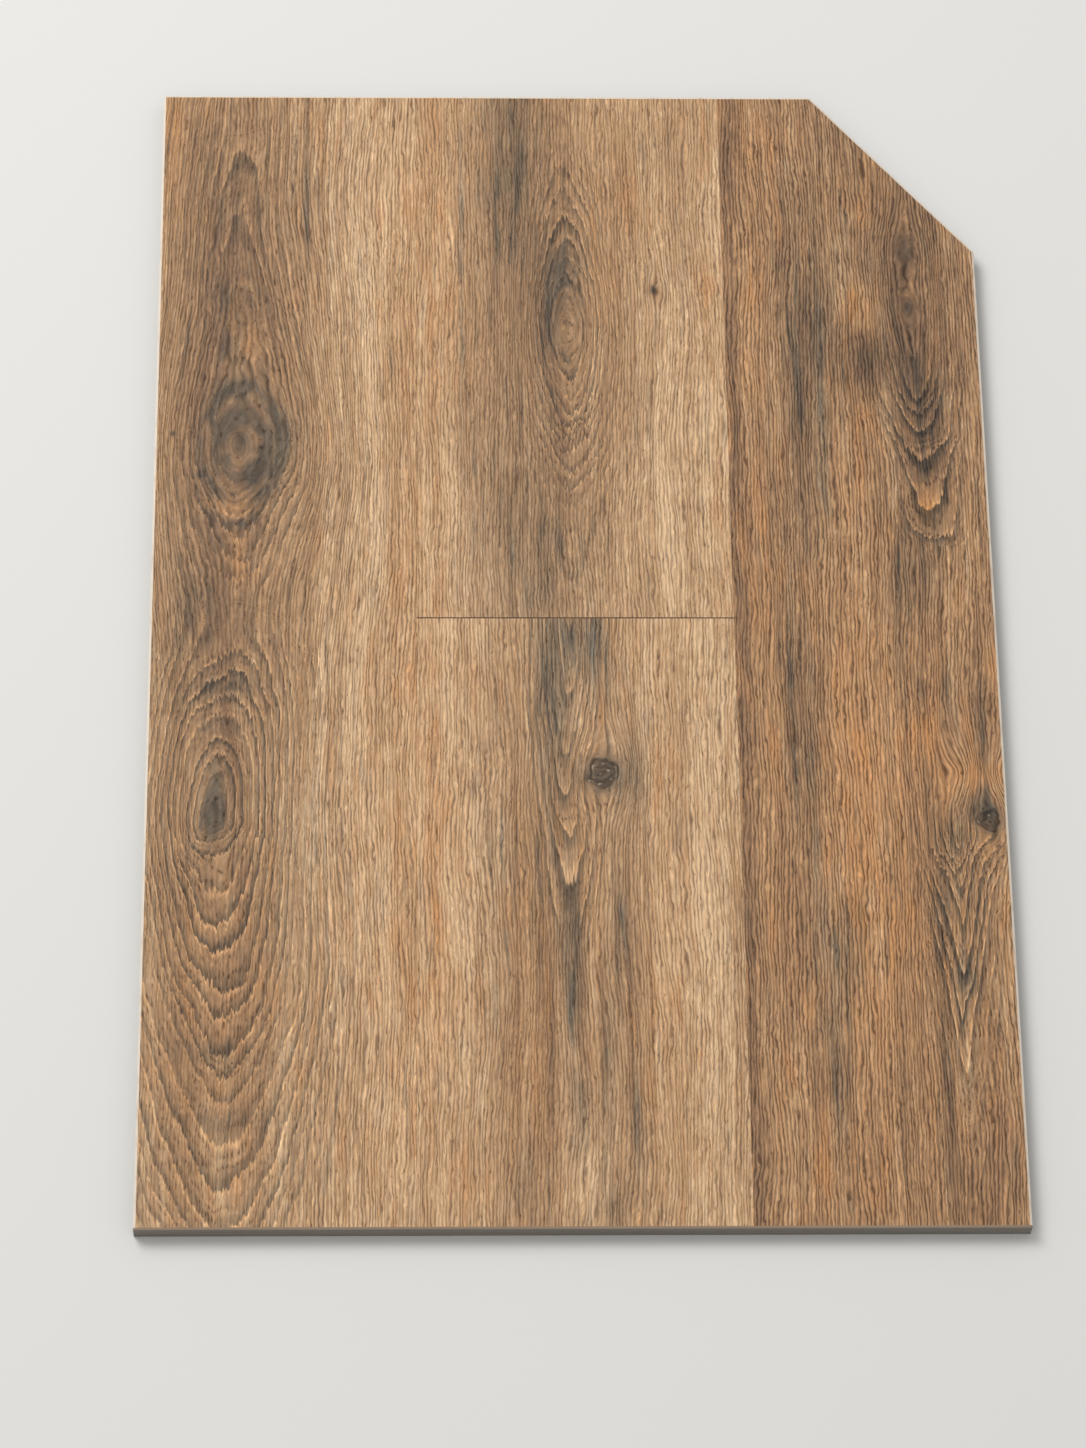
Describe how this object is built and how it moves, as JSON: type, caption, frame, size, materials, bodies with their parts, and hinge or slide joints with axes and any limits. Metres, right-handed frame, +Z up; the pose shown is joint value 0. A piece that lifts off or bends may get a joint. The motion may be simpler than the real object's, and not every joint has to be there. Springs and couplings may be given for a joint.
{
  "type": "vinyl floor plank",
  "caption": "Flat rectangular vinyl floor plank cut to a short length, one corner clipped, wood-grain wear face with pressed hairline seams and a fine edge bevel, for laying as flooring.",
  "frame": {"origin": "middle of the underside, on the floor that the plank lies on", "axes": "+X across the plank, +Y along its grain towards the end with the clipped corner, +Z up out of the wear face"},
  "size_m": [0.229, 0.343, 0.005],
  "materials": {
    "printed_vinyl": "satin wear layer over a printed brown and grey oak grain, grey filled core at the cut edges"
  },
  "bodies": {
    "root": {"vinyl_plank": "printed_vinyl"}
  },
  "joints": []
}
